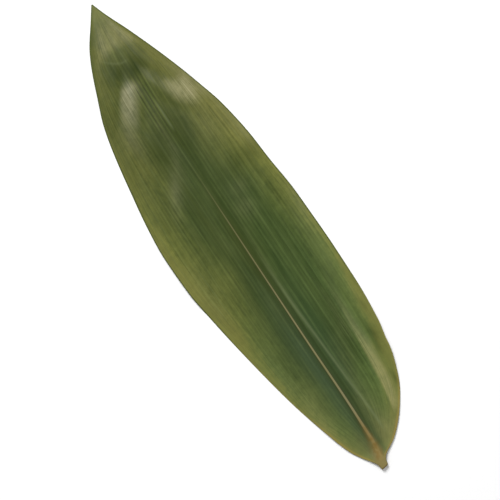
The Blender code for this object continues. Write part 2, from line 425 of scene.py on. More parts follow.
left_margin = smooth_line(LEFT_MARGIN)
right_margin = smooth_line(RIGHT_MARGIN)
midrib_line = smooth_line(MIDRIB_LINE)
pleat_line = smooth_line(PLEAT_LINE)
fold_line = smooth_line(FOLD_LINE)
left_waves = smooth_line(LEFT_WAVES)
right_waves = smooth_line(RIGHT_WAVES)
left_olive_starts = smooth_line(LEFT_OLIVE_STARTS)
left_olive_most = smooth_line(LEFT_OLIVE_MOST)
right_olive_starts = smooth_line(RIGHT_OLIVE_STARTS)
right_olive_most = smooth_line(RIGHT_OLIVE_MOST)
band_line = smooth_line(BAND_LINE)
left_sheen_begins = smooth_line(LEFT_SHEEN_BEGINS)
left_sheen_ends = smooth_line(LEFT_SHEEN_ENDS)
right_sheen_begins = smooth_line(RIGHT_SHEEN_BEGINS)
right_sheen_ends = smooth_line(RIGHT_SHEEN_ENDS)


def middle_line(x):
    return np.zeros_like(x)


# Strips along the leaf, light ones of painted highlight and dark ones of painted shade: the line each
# follows, its place beside that line, half width, start, end, strength
HIGHLIGHT_STRIPS = (
    (pleat_line, 0.0, 0.0007, (0.014, 0.022), (0.090, 0.130), 0.50),
    (middle_line, -0.0015, 0.0005, (0.197, 0.203), (0.210, 0.220), 0.45),
)
SHADE_STRIPS = (
    (midrib_line, -0.0024, 0.0018, (0.012, 0.030), (0.100, 0.175), 0.60),
    (midrib_line, 0.0018, 0.0010, (0.010, 0.020), (0.100, 0.175), 0.42),
    (band_line, -0.0058, 0.0020, (0.044, 0.054), (0.060, 0.070), 0.50),
    (midrib_line, 0.0002, 0.0004, (0.196, 0.206), (0.228, 0.240), 0.45),
    (middle_line, -0.0026, 0.0004, (0.198, 0.206), (0.240, 0.256), 0.45),
)


def half_width(x, side):
    """From the midrib's line to the margin, on the left half (side 1) or the right half (side -1)."""
    return np.where(side > 0, left_margin(x) - midrib_line(x), right_margin(x) + midrib_line(x))


def lane_share(v, x, side):
    """A lane's place, 0 at the midrib and 1 at the margin. Lanes crowd there where the leaf narrows."""
    narrowed = np.minimum(WIDEST / half_width(x, side), LANE_SPREAD_MOST)
    spread = 1 + (narrowed - 1) * smooth_step(*LANES_TURN, x)
    return v * spread / (1 + (spread**LANE_POWER - 1) * v**LANE_POWER) ** (1 / LANE_POWER)


def free_height(x, y, share, side):
    """The sheet's height before the ground stops it: arch, valley, pleat, fold, margin waves and tip wave."""
    from_midrib = share * half_width(x, side)
    arch = ARCH_HEIGHT * np.sin(math.pi * np.clip(x / LEAF_LENGTH, 0, 1))
    margin = np.where(side > 0, left_waves(x), right_waves(x))
    sheet = arch + (margin - arch) * share**DROOP_POWER
    beside_midrib = (1 - bell(from_midrib, VALLEY_HALF_WIDTH)) * (1 - share**DROOP_POWER)
    valley = VALLEY_DEPTH * beside_midrib * smooth_step(*VALLEY_STARTS, x)
    pleat = PLEAT_HEIGHT * bell(y - pleat_line(x), PLEAT_HALF_WIDTH) * between(x, PLEAT_STARTS, PLEAT_SINKS)
    fold = FOLD_DEPTH * bell(y - fold_line(x), FOLD_HALF_WIDTH) * between(x, FOLD_STARTS, FOLD_SINKS)
    front = x + TIP_WAVE_SLANT * from_midrib
    wave = TIP_WAVE_HEIGHT * np.cos(2 * math.pi * (front - TIP_WAVE_CREST) / TIP_WAVE_LENGTH)
    waved = smooth_step(*TIP_WAVE_STARTS, front) * smooth_step(*TIP_WAVE_RISES, from_midrib)
    waved = waved * (TIP_WAVE_SHARE - TIP_WAVE_LOSES * smooth_step(*TIP_WAVE_CALMS, front))
    return sheet + valley + pleat - fold + wave * waved


def clearance(x, share, side):
    """The stalk, the tip and the outer right margin stay just clear of the ground."""
    ends = 1 - between(x, STALK_CLEAR, TIP_CLEAR)
    right = np.where(side > 0, 0, smooth_step(*RIGHT_CLEAR, x) * share**2)
    return CLEARANCE * np.maximum(ends, right)


def settled(height):
    """Heights below the ground become 0, with a soft bend above it."""
    eased = 0.5 * (height + np.sqrt(height**2 + EASE**2)) - EASE_CUT
    return np.maximum(eased, 0)


def ripples(x, y):
    """Small uneven swells of the blade, longer along it than across it, from a few fixed waves."""
    rng = np.random.default_rng(SWELL_SEED)
    total = np.zeros_like(x)
    for _ in range(SWELL_WAVES):
        length = rng.uniform(*SWELL_LENGTHS)
        width = rng.uniform(*SWELL_WIDTHS)
        phase = rng.uniform(0, 2 * math.pi, 2)
        total += np.sin(2 * math.pi * x / length + phase[0]) * np.sin(2 * math.pi * y / width + phase[1])
    return total / SWELL_WAVES**0.5


def vein_relief(x, v, share):
    """Broad ribs, each with a fine crest, as tall as the mesh can show them."""
    turns = v / VEIN_PITCH
    broad = RIB_HEIGHT * (0.5 + 0.5 * np.cos(2 * math.pi * turns))
    crest = RIB_CREST_HEIGHT * bell(turns - np.round(turns), RIB_CREST_WIDTH)
    across = smooth_step(*FIRST_VEIN_RISES, v) * (1 - smooth_step(*LAST_VEIN_SINKS, share))
    return (broad + crest) * across * between(x, VEINS_START, VEINS_SINK)


def leaf_points(x, v, side):
    """The leaf's upper and lower points for places along it and lanes across it, and where each one lies."""
    share = lane_share(v, x, side)
    width = half_width(x, side)
    from_midrib = share * width
    y = midrib_line(x) + side * from_midrib
    free = free_height(x, y, share, side)
    inside = width - from_midrib
    swell = SWELL_HEIGHT * ripples(x, y) * smooth_step(*SWELLS_START, x)
    swell = swell * smooth_step(*SWELLS_KEEP_OFF_MARGIN, inside)
    clear = clearance(x, share, side)
    lift = settled(free + swell) + clear
    ribs = vein_relief(x, v, share)
    ribs_below = ribs * smooth_step(0, FLAT_UNDER_VEINS, lift)
    midrib = MIDRIB_HEIGHT * bell(from_midrib, MIDRIB_HALF_WIDTH) * between(x, MIDRIB_STARTS, MIDRIB_SINKS)
    in_stalk = 1 - smooth_step(*STALK_TO_BLADE, x)
    added = STALK_THICKNESS - CAD_BLADE
    round_edge = np.sqrt(np.clip(1 - share**2, 0, 1))
    below_middle = 0.5 * added * in_stalk * (1 - round_edge)
    above_middle = 0.5 * added * in_stalk * (1 + round_edge)
    keel = added * (1 - in_stalk) * bell(from_midrib, KEEL_HALF_WIDTH) * (1 - smooth_step(*KEEL_TAPER, x))
    lower = settled(free + swell + ribs_below - keel) + clear + below_middle
    from_edge = np.clip(inside / EDGE_WIDTH, 0, 1)
    blade = EDGE + (BLADE - EDGE) * np.sqrt(np.clip(1 - (1 - from_edge) ** 2, 0, 1))
    upper = lift + blade + ribs + midrib + above_middle
    slant = STALK_CUT_SLANT * y * (1 - smooth_step(0, STALK_LENGTH, x))
    return x + slant, y, upper, lower, share, from_midrib, inside


def spots(x, y, table):
    """Soft oval spots, each leaning along the leaf as it goes out, or back if its lean is negative."""
    total = np.zeros_like(x)
    for (middle_x, middle_y), (along, across), lean, strength in table:
        out = np.abs(y) - abs(middle_y)
        inner = ((x - middle_x - lean * out) / along) ** 2 + ((y - middle_y) / across) ** 2
        total = total + strength * np.exp(-inner)
    return total


def strips(x, y, table):
    """Soft strips along the leaf, each beside a line."""
    total = np.zeros_like(x)
    for line, beside, half, starts, sinks, strength in table:
        total = total + strength * bell(y - line(x) - beside, half) * between(x, starts, sinks)
    return total


def patch(x, out, begins, ends, softness, rises, fades, loses):
    """A patch of painted sheen with a soft near edge and a sharper far one. It comes and goes with the
    distance out.
    """
    near_edge, far_edge = softness
    near, far = begins(out), ends(out)
    along = smooth_step(near + near_edge[0], near + near_edge[1], x)
    along = along * (1 - smooth_step(far + far_edge[0], far + far_edge[1], x))
    return along * smooth_step(*rises, out) * (1 - loses * smooth_step(*fades, out))


def tones(x, y, share, side, inside):
    """How olive the leaf is at each place, how much painted sheen and painted shade it has, and its thin
    painted highlights.
    """
    starts = np.where(side > 0, left_olive_starts(x), right_olive_starts(x))
    most = np.where(side > 0, left_olive_most(x), right_olive_most(x))
    olive = most * np.clip((share - starts) / (1 - starts), 0, 1) ** OLIVE_POWER
    olive = olive + TIP_OLIVE * smooth_step(*TIP_OLIVE_RISES, x) * (1 - share)

    # Patches of painted sheen lie on the slopes of the tip's wave
    left_ends = left_sheen_begins, left_sheen_ends
    left_sheen = patch(x, y, *left_ends, LEFT_SHEEN_SOFTNESS, *LEFT_SHEEN_ACROSS, LEFT_SHEEN_LOSES)
    right_ends = right_sheen_begins, right_sheen_ends
    right_sheen = patch(x, -y, *right_ends, RIGHT_SHEEN_SOFTNESS, *RIGHT_SHEEN_ACROSS, RIGHT_SHEEN_LOSES)
    off_left, off_right = smooth_step(*LEFT_RIM_GREEN, inside), smooth_step(*RIGHT_RIM_GREEN, inside)
    off_margin = np.where(side > 0, off_left, off_right)
    tip_sheen_begins = TIP_SHEEN_BEGINS + TIP_SHEEN_LEAN * np.maximum(np.abs(y) - TIP_SHEEN_LEANS_FROM, 0)
    tip = smooth_step(tip_sheen_begins, tip_sheen_begins + TIP_SHEEN_EDGE, x)
    tip = tip * (1 - TIP_SHEEN_LOSES * smooth_step(*TIP_SHEEN_SINKS, x)) * off_margin
    pale = LEFT_SHEEN_STRENGTH * left_sheen + RIGHT_SHEEN_STRENGTH * right_sheen + TIP_SHEEN_STRENGTH * tip
    pale = pale + spots(x, y, SHEEN_SPOTS)

    # A band of painted sheen, with a sharper upper edge, lies on the fold's slope by the stalk
    above_band = y - band_line(x)
    foot = BAND_FOOT + BAND_NARROWS_BY * smooth_step(*BAND_NARROWS, x)
    fold_sheen = smooth_step(foot, foot + BAND_FOOT_WIDTH, above_band) * (1 - smooth_step(*BAND_TOP, above_band))
    pale = pale + FOLD_SHEEN_STRENGTH * fold_sheen * between(x, BAND_STARTS, BAND_SINKS)

    # Thin painted highlights: on the pleat's crest, on a vein that catches the light, and on an arc across
    # the tip
    arc_x = ARC_FOOT[0] + ARC_BEND * (y - ARC_FOOT[1]) ** 2
    arc = bell(x - arc_x, ARC_HALF_WIDTH) * between(y, ARC_STARTS, ARC_ENDS)
    lines = strips(x, y, HIGHLIGHT_STRIPS) + ARC_HIGHLIGHT_STRENGTH * arc

    # Painted shade, from the dark strips and spots
    dark = strips(x, y, SHADE_STRIPS) + spots(x, y, SHADE_SPOTS)
    return olive, pale, dark, lines


def grid_faces(first, rows, columns, flip):
    """The four-sided faces between the points of a grid, whose first point has the number first."""
    i, j = np.meshgrid(np.arange(rows), np.arange(columns), indexing="ij")
    a = first + i * (columns + 1) + j
    quads = np.stack([a, a + columns + 1, a + columns + 2, a + 1], axis=-1).reshape(-1, 4)
    return quads[:, ::-1] if flip else quads


def leaf_faces(count, columns):
    """The upper faces, the lower ones, and the rim in four strips: both margins, then both ends."""
    top = grid_faces(0, ROWS, columns, False)
    bottom = grid_faces(count, ROWS, columns, True)
    index = np.arange(count).reshape(ROWS + 1, columns + 1)
    rim = []
    for line in (index[:, 0], index[::-1, -1], index[0, ::-1], index[-1, :]):
        rim.append(np.stack([line[:-1], line[:-1] + count, line[1:] + count, line[1:]], axis=-1))
    return top, bottom, rim


def add_mesh(points, quads):
    mesh = bpy.data.meshes.new("bamboo_leaf")
    mesh.vertices.add(len(points))
    mesh.vertices.foreach_set("co", points.astype(np.float32).reshape(-1))
    mesh.loops.add(quads.size)
    mesh.loops.foreach_set("vertex_index", quads.astype(np.int32).reshape(-1))
    mesh.polygons.add(len(quads))
    mesh.polygons.foreach_set("loop_start", np.arange(0, quads.size, 4, dtype=np.int32))
    mesh.update(calc_edges=True)
    mesh.validate()
    return mesh


def add_map(mesh, along, across, top, bottom, rim):
    """Lays the faces out on the texture map. The strips of the rim lie between the two large faces."""
    quads = np.concatenate([top, bottom] + rim)
    u = np.concatenate([along.reshape(-1)] * 2)
    here = np.concatenate([across.reshape(-1)] * 2)[quads]
    uv = np.stack([MAP_START + MAP_LENGTH * u[quads], np.zeros(quads.shape)], axis=-1)
    start = len(top) + len(bottom)
    uv[: len(top), :, 1] = TOP_MIDDLE + TOP_REACH * here[: len(top)]
    uv[len(top) : start, :, 1] = UNDER_MIDDLE + UNDER_REACH * here[len(top) : start]
    below_upper_edge = np.array([0.0, 1.0, 1.0, 0.0])
    margins = 2
    for number, strip in enumerate(rim):
        end = start + len(strip)
        uv[start:end, :, 1] = RIM_FOOT + RIM_STEP * number + RIM_DEPTH * below_upper_edge
        if number >= margins:
            uv[start:end, :, 0] = END_START + END_LENGTH * (0.5 + 0.5 * here[start:end])
        start = end
    layer = mesh.uv_layers.new(name="OFBake")
    layer.data.foreach_set("uv", uv.astype(np.float32).reshape(-1))


def add_attribute(mesh, name, upper, lower):
    """Stores three values at each point, for the skin to read."""
    values = np.concatenate([np.stack(face, axis=-1).reshape(-1, 3) for face in (upper, lower)])
    made = mesh.attributes.new(name, "FLOAT_VECTOR", "POINT")
    made.data.foreach_set("vector", values.astype(np.float32).reshape(-1))


def build_leaf():
    """The leaf as one closed mesh, and the shift from its own frame, at the stalk's end, to the part's."""
    columns = 2 * COLUMNS_EACH_SIDE
    lanes = np.linspace(-1, 1, columns + 1)
    even = np.linspace(0, 1, ROWS + 1)
    places = LEAF_LENGTH * (even - ROW_CROWDING * np.sin(2 * math.pi * even) / (2 * math.pi))
    x, lane = np.meshgrid(places, lanes, indexing="ij")
    side = np.where(lane >= 0, 1.0, -1.0)
    px, py, upper, lower, share, from_midrib, inside = leaf_points(x, np.abs(lane), side)
    middle_x = (px.min() + px.max()) / 2
    middle_y = (py.min() + py.max()) / 2
    flat = np.stack([px - middle_x, py - middle_y], axis=-1).reshape(-1, 2)
    points = np.concatenate([np.c_[flat, upper.reshape(-1)], np.c_[flat, lower.reshape(-1)]])
    top, bottom, rim = leaf_faces(x.size, columns)
    mesh = add_mesh(points, np.concatenate([top, bottom] + rim))
    add_map(mesh, x / LEAF_LENGTH, side * share, top, bottom, rim)

    # The skin reads places in millimetres, how far in from the margin and which face, the thin painted
    # highlights, and the colour zones with painted sheen and shade
    place = (x * MM, side * from_midrib * MM, lane * WIDEST * MM)
    olive, pale, dark, lines = tones(x, py, share, side, inside)
    zone = (olive, pale, dark)
    add_attribute(mesh, "leaf_place", place, place)
    upper_rim = (inside * MM, np.zeros_like(x), lines)
    lower_rim = (inside * MM, np.ones_like(x), lines)
    add_attribute(mesh, "leaf_rim", upper_rim, lower_rim)
    add_attribute(mesh, "leaf_tone", zone, zone)
    mesh.shade_smooth()
    mesh.set_sharp_from_angle(angle=math.radians(SHARP_DEGREES))
    leaf = bpy.data.objects.new("leaf_blade", mesh)
    bpy.context.scene.collection.objects.link(leaf)
    return leaf, Vector((-middle_x, -middle_y, 0))


# Materials
# A colour mix node's sockets by number, because their names are not theirs alone
MIX_SHARE, MIX_A, MIX_B, MIX_COLOUR = 0, 6, 7, 2


class Nodes:
    """Short calls that add nodes to one material and join them."""

    def __init__(self, name):
        self.material = bpy.data.materials.new(name)
        self.material.use_nodes = True
        self.tree = self.material.node_tree
        self.shader = self.tree.nodes["Principled BSDF"]

    def put(self, value, socket):
        if isinstance(value, bpy.types.NodeSocket):
            self.tree.links.new(value, socket)
        else:
            socket.default_value = value

    def math(self, operation, a, b=0.0, c=0.0, clamp=False):
        node = self.tree.nodes.new("ShaderNodeMath")
        node.operation = operation
        node.use_clamp = clamp
        for value, socket in zip((a, b, c), node.inputs):
            self.put(value, socket)
        return node.outputs[0]

    def add(self, a, b):
        return self.math("ADD", a, b)

    def times(self, first, *others):
        for other in others:
            first = self.math("MULTIPLY", first, other)
        return first

    def sum(self, first, *weighted):
        """The first value and each other value times its weight."""
        for value, weight in weighted:
            first = self.add(first, self.times(value, weight))
        return first

    def centred(self, value):
        return self.math("SUBTRACT", value, 0.5)

    def step(self, ends, value):
        """0 up to the first end, 1 from the second, smooth between. The first may be the larger one."""
        node = self.tree.nodes.new("ShaderNodeMapRange")
        node.interpolation_type = "SMOOTHSTEP"
        turned = ends[0] > ends[1]
        self.put(value, node.inputs["Value"])
        node.inputs["From Min"].default_value = min(ends)
        node.inputs["From Max"].default_value = max(ends)
        node.inputs["To Min"].default_value = 1.0 if turned else 0.0
        node.inputs["To Max"].default_value = 0.0 if turned else 1.0
        return node.outputs["Result"]

    def curve(self, value, points):
        """A smooth curve through the points, of a value from 0 to 1."""
        node = self.tree.nodes.new("ShaderNodeFloatCurve")
        line = node.mapping.curves[0]
        while len(line.points) < len(points):
            line.points.new(0.5, 0.5)
        for point, place in zip(line.points, points):
            point.location = place
        node.mapping.update()
        self.put(value, node.inputs["Value"])
        return node.outputs[0]

    def mix(self, share, a, b, blend="MIX"):
        node = self.tree.nodes.new("ShaderNodeMix")
        node.data_type = "RGBA"
        node.blend_type = blend
        self.put(share, node.inputs[MIX_SHARE])
        self.put(a if isinstance(a, bpy.types.NodeSocket) else (*a, 1), node.inputs[MIX_A])
        self.put(b if isinstance(b, bpy.types.NodeSocket) else (*b, 1), node.inputs[MIX_B])
        return node.outputs[MIX_COLOUR]

    def attribute(self, name):
        node = self.tree.nodes.new("ShaderNodeAttribute")
        node.attribute_name = name
        split = self.tree.nodes.new("ShaderNodeSeparateXYZ")
        self.put(node.outputs["Vector"], split.inputs[0])
        return split.outputs

    def vector(self, x, y, z):
        node = self.tree.nodes.new("ShaderNodeCombineXYZ")
        for value, socket in zip((x, y, z), node.inputs):
            self.put(value, socket)
        return node.outputs[0]

    def noise(self, place, scale, detail, rough):
        node = self.tree.nodes.new("ShaderNodeTexNoise")
        self.put(place, node.inputs["Vector"])
        node.inputs["Scale"].default_value = scale
        node.inputs["Detail"].default_value = detail
        node.inputs["Roughness"].default_value = rough
        return node.outputs["Fac"]

    def pattern(self, recipe, along, sideways):
        """Noise with its own grain along and across the leaf."""
        per_along, per_across, own_place, detail, rough = recipe
        place = self.vector(self.times(along, per_along), self.times(sideways, per_across), own_place)
        return self.noise(place, 1.0, detail, rough)


LIGHT = 1.20
HAZE = 0.011
DARKEST = 0.003


def shown(red, green, blue):
    """The paint that this scene's light shows as the given screen colour, 0 to 255."""
    colour = []
    for value in (red, green, blue):
        share = value / 255
        linear = share / 12.92 if share <= 0.04045 else ((share + 0.055) / 1.055) ** 2.4
        colour.append(max((linear - HAZE) / LIGHT, DARKEST))
    return tuple(colour)


GREENER = (0.88, 1.0, 0.94)
DEEP_GREEN = shown(60, 73, 39)
MID_GREEN = shown(80, 91, 51)
COOL_GREEN = shown(71, 88, 61)
OLIVE_BASE = shown(104, 118, 66)
OLIVE_MIDDLE = shown(110, 115, 59)
OLIVE_TIP = shown(106, 107, 56)
OLIVE = shown(124, 124, 66)
OLIVE_TAN = shown(142, 134, 84)
TIP_END = shown(114, 117, 58)
# Painted light: four sheen colours, a highlight green, a shade green, and the shade beside the midrib
SHEEN_GREY = shown(164, 160, 129)
SHEEN_YELLOW = shown(172, 165, 108)
SHEEN_GREEN = shown(152, 160, 108)
SHEEN_TIP = shown(162, 156, 106)
HIGHLIGHT_GREEN = shown(134, 144, 104)
SHADE_GREEN = shown(54, 64, 32)
RIB_SIDE_SHADE = shown(68, 71, 40)
VEIN_GREEN = shown(98, 110, 66)
YELLOW_EDGE = shown(156, 142, 76)
MIDRIB_BASE = shown(150, 125, 75)
MIDRIB_PALE = shown(146, 138, 100)
CALLUS_TAN = shown(143, 126, 77)
CALLUS_BROWN = shown(131, 109, 58)
STALK_PALE = shown(146, 135, 86)
DARK_CUT = shown(84, 66, 38)
# Painted shade along the margin
MARGIN_SHADE = shown(66, 78, 36)
UNDER_GREEN = shown(118, 130, 86)
UNDER_DEEP = shown(102, 116, 72)
UNDER_RIB = shown(156, 158, 112)

# Noise patterns: turns a millimetre along and across, a place of their own, detail, roughness
SOFT = (0.012, 0.17, 0.0, 2.0, 0.5)
STREAK = (0.022, 0.62, 4.0, 2.0, 0.6)
HAIR = (0.045, 1.9, 9.0, 2.0, 0.6)
CLOUD = (0.035, 0.07, 2.0, 3.0, 0.6)
MOTTLE = (0.30, 0.45, 6.0, 3.0, 0.6)
VEIN_NOISE = (0.03, 0.27, 15.0, 2.0, 0.5)
FURROW_NOISE = (0.05, 0.35, 27.0, 2.0, 0.5)
WRINKLE = (0.13, 0.80, 21.0, 2.0, 0.5)
CROSS_VEIN = (0.9, 0.9, 12.0, 1.0, 0.5)

# Zones: each begins at the first value and is full at the second. Names with BY_T are shares of the
# leaf's length. The others are millimetres: along the leaf, off its midrib, or in from its margin.
RIGHT_HALF = (1.0, -4.0)
COOL_OFF = (20.0, 3.0)
COOL_BY_T = (0.50, 0.22)
TIP_HUE_BY_T = (0.55, 0.75)
MIDDLE_HUE = (0.30, 0.50)
MIDDLE_HUE_LEAN = 0.0025
OUTERMOST_BY_T = (0.85, 0.55)
LIGHT_BASE_ALONG = (60.0, 15.0)
LIGHT_BASE_OFF = (3.0, 9.0)
NEAR_STALK_ALONG = (30.0, 5.0)
NEAR_STALK_OFF = (0.5, 5.0)
NEAR_STALK_RIGHT = -1.2
VEINS_BY_T = (0.02, 0.12)
GREENER_SINKS_BY_T = (0.66, 0.45)
GREENER_RISES_BY_T = (0.08, 0.20)
GREENER_OFF = (33.0, 22.0)
CALM_BY_T = (0.40, 0.20)
GATHERED_RISES_BY_T = (0.70, 0.76)
GATHERED_SINKS_BY_T = (0.90, 0.82)
GATHERED_OFF = (6.0, 2.5)
SHEEN_GREEN_BY_T = (0.18, 0.26)
SHEEN_GREY_BY_T = (0.40, 0.62)
SHEEN_TIP_BY_T = (0.86, 0.90)
TIP_END_BY_T = (0.950, 0.985)
MARGIN_SHADE_EDGE = (0.9, 0.25)
MARGIN_SHADE_BY_T = (0.20, 0.45)
TIP_SHADE_EDGE = (2.2, 0.6)
TIP_SHADE_BY_T = (0.82, 0.90)
TIP_SHADE_LEFT = (-1.0, 2.0)
RIM_EDGE = (2.0, 0.4)
RIM_BY_T = (0.20, 0.06)
TAN_RIM_EDGE = (2.6, 0.8)
TAN_RIM_ALONG = (24.0, 14.0)
THIN_RIM_EDGE = (0.9, 0.2)
THIN_RIM_BY_T = (0.40, 0.15)
RIB_SHADE_BY_T = (0.62, 0.40)
RIB_SHADE_ALONG = (8.0, 20.0)
RIB_PALE_BY_T = (0.04, 0.13)
CALLUS_ENDS = (34.0, 9.0)
CALLUS_RIGHT = (-0.3, -1.8)
STALK_ALONG = (7.5, 2.5)
CUT_ALONG = (1.0, 0.1)
KEEL_OFF = (1.9, 1.1)
KEEL_BY_T = (0.98, 0.70)

# Other thresholds, of noise, of the olive tone, and of the midrib in half widths of its own
GREEN_TURNS = (0.36, 0.64)
OLIVE_FELT = (0.0, 0.35)
OLIVE_OUTERMOST = (0.6, 1.1)
OLIVE_SMOOTHS = (1.0, 0.3)
VEIN_SHOWS = (0.35, 0.62)
RIB_SHADE_REACH = (3.6, 1.6)
RIB_EDGE = (1.35, 0.65)
RIB_STREAKS = (0.45, 0.7)
HALF_AND_HALF = (0.35, 0.65)
VEIN_BELOW = (0.25, 1.0)
UNDERSIDE = (0.4, 0.6)

# Strengths: how far each zone goes to its colour. Names with BY say how much a noise pattern adds.
SOFT_SHARE = 0.6
CLOUD_SHARE = 0.4
COOL_STRENGTH = 0.88
COOL_RIGHT = -0.33
OLIVE_STRENGTH = 1.18
OLIVE_BY_STREAK = 0.45
OLIVE_BY_CLOUD = 0.8
OLIVE_BY_MOTTLE = 0.35
OUTERMOST_STRENGTH = 0.8
LIGHT_BASE_STRENGTH = 0.34
NEAR_STALK_STRENGTH = 0.36
VEIN_STRENGTH = 0.26
CALM_STRENGTH = 0.55
CALM_RIGHT = -0.10
SHADE_BY_STREAK = 0.46
SHADE_BY_HAIR = 0.60
SHADE_BY_MOTTLE = 0.32
FURROW_DEPTH = 0.065
GATHERED_DEPTH = 0.24
SHADE_STRENGTH = 0.75
SHEEN_STRENGTH = 0.75
SHEEN_EVEN = 0.62
SHEEN_BY_HAIR = 1.6
SHEEN_BY_CLOUD = 1.0
SHEEN_BY_MOTTLE = 0.6
SHEEN_BY_FURROW = 0.07
SHEEN_TIP_RIGHT = 0.4
HIGHLIGHT_EVEN = 0.45
HIGHLIGHT_BY_HAIR = 0.5
TIP_END_STRENGTH = 0.7
MARGIN_SHADE_STRENGTH = 0.75
TIP_SHADE_SHARE = 0.6
TAN_RIM_STRENGTH = 0.75
RIM_STRENGTH = 0.85
THIN_RIM_SHARE = 0.5
RIB_SHADE_STRENGTH = 0.5
RIB_STRENGTH = 0.85
RIB_STREAKS_STRENGTH = 0.35
CALLUS_STRENGTH = 0.9
STALK_STRENGTH = 0.75
CUT_STRENGTH = 0.7
VEIN_BELOW_STRENGTH = 0.35
CALLUS_BELOW_STRENGTH = 0.8

# The callus ends unevenly, and sooner off the midrib, by so many millimetres for each one across
CALLUS_NARROWS = 4.5
CALLUS_NARROWS_RIGHT = 1.8
CALLUS_UNEVEN = 11.0

VEIN_MM = VEIN_PITCH * WIDEST * MM
VEIN_SHARPNESS = 7.0
FINE_VEIN_MM = 0.46
RIB_WIDTH = ((0.0, 0.60), (0.05, 0.40), (0.12, 0.27), (0.25, 0.20), (0.5, 0.14), (1.0, 0.12))
RIB_WIDTH_SCALE = 2.0
RIB_SHOWS = ((0.0, 1.0), (0.25, 1.0), (0.42, 0.68), (0.52, 0.44), (0.70, 0.0), (1.0, 0.0))
BUMP_HEIGHT = 0.00001
FINE_VEIN_BUMP = 0.20
HAIR_BUMP = 1.4
WRINKLE_BUMP = 4.0
CROSS_VEIN_BUMP = 0.8
SKIN_ROUGHNESS = 0.40
ROUGHER_BY_STREAK = 0.25
ROUGHER_IN_DARK = -0.07
ROUGHER_BELOW = 0.2
ROUGHER_ON_CALLUS = 0.15
SKIN_GLOSS = 0.18


def skin_places(n):
    """Where a point lies, how the leaf is there, and the noise patterns. t is its share of the length."""
    p = SimpleNamespace()
    p.along, p.across, p.lane = n.attribute("leaf_place")
    p.edge, p.under, p.line = n.attribute("leaf_rim")
    # The colour zones: olive tone, painted sheen and painted shade
    p.olive, p.pale, p.dark = n.attribute("leaf_tone")
    p.t = n.times(p.along, 1 / (MM * LEAF_LENGTH))
    p.off = n.math("ABSOLUTE", p.across)
    p.right = n.step(RIGHT_HALF, p.across)
    p.soft = n.pattern(SOFT, p.along, p.lane)
    p.streak = n.pattern(STREAK, p.along, p.lane)
    p.hair = n.pattern(HAIR, p.along, p.lane)
    p.cloud = n.pattern(CLOUD, p.along, p.across)
    p.mottle = n.pattern(MOTTLE, p.along, p.across)
    p.vein_turn = n.math("COSINE", n.times(p.lane, 2 * math.pi / VEIN_MM))
    p.furrow = n.math("COSINE", n.times(p.lane, 4 * math.pi / VEIN_MM))
    return p


def blade_green(n, p):
    """Deep green by the midrib, cooler near the stalk, olive towards the margins, with narrow paler veins."""
    lighter = n.step(GREEN_TURNS, n.sum(n.times(p.soft, SOFT_SHARE), (p.cloud, CLOUD_SHARE)))
    green = n.mix(lighter, DEEP_GREEN, MID_GREEN)
    cool = n.times(n.step(COOL_OFF, p.off), n.step(COOL_BY_T, p.t))
    green = n.mix(n.times(cool, n.sum(COOL_STRENGTH, (p.right, COOL_RIGHT))), green, COOL_GREEN)

    uneven = n.times(n.centred(p.streak), OLIVE_BY_STREAK)
    uneven = n.sum(uneven, (n.centred(p.cloud), OLIVE_BY_CLOUD), (n.centred(p.mottle), OLIVE_BY_MOTTLE))
    olive_share = n.add(p.olive, n.times(uneven, n.step(OLIVE_FELT, p.olive)))
    hue = n.step(MIDDLE_HUE, n.sum(p.t, (p.across, MIDDLE_HUE_LEAN)))
    olive_colour = n.mix(hue, OLIVE_BASE, OLIVE_MIDDLE)
    olive_colour = n.mix(n.step(TIP_HUE_BY_T, p.t), olive_colour, OLIVE_TIP)
    green = n.mix(n.math("MULTIPLY", olive_share, OLIVE_STRENGTH, clamp=True), green, olive_colour)
    outermost = n.times(n.step(OLIVE_OUTERMOST, olive_share), n.step(OUTERMOST_BY_T, p.t))
    green = n.mix(n.times(outermost, OUTERMOST_STRENGTH), green, OLIVE)

    light_base = n.times(n.step(LIGHT_BASE_ALONG, p.along), n.step(LIGHT_BASE_OFF, p.off))
    green = n.mix(n.times(light_base, LIGHT_BASE_STRENGTH), green, OLIVE_BASE)
    further = n.sum(p.off, (p.right, NEAR_STALK_RIGHT))
    near_stalk = n.times(n.step(NEAR_STALK_ALONG, p.along), n.step(NEAR_STALK_OFF, further))
    green = n.mix(n.times(near_stalk, NEAR_STALK_STRENGTH), green, OLIVE_TAN)

    # Veins are stronger in some places than in others
    vein = n.math("POWER", n.sum(0.5, (p.vein_turn, 0.5)), VEIN_SHARPNESS)
    vein = n.times(vein, n.step(VEIN_SHOWS, n.pattern(VEIN_NOISE, p.along, p.lane)))
    vein = n.times(vein, n.step(VEINS_BY_T, p.t), VEIN_STRENGTH)
    green = n.mix(vein, green, VEIN_GREEN)

    # The right half is greener, up to past the middle
    greener = n.times(p.right, n.step(GREENER_SINKS_BY_T, p.t), n.step(GREENER_RISES_BY_T, p.t))
    greener = n.times(greener, n.step(GREENER_OFF, p.off))
    return n.mix(greener, green, n.mix(1.0, green, GREENER, "MULTIPLY"))


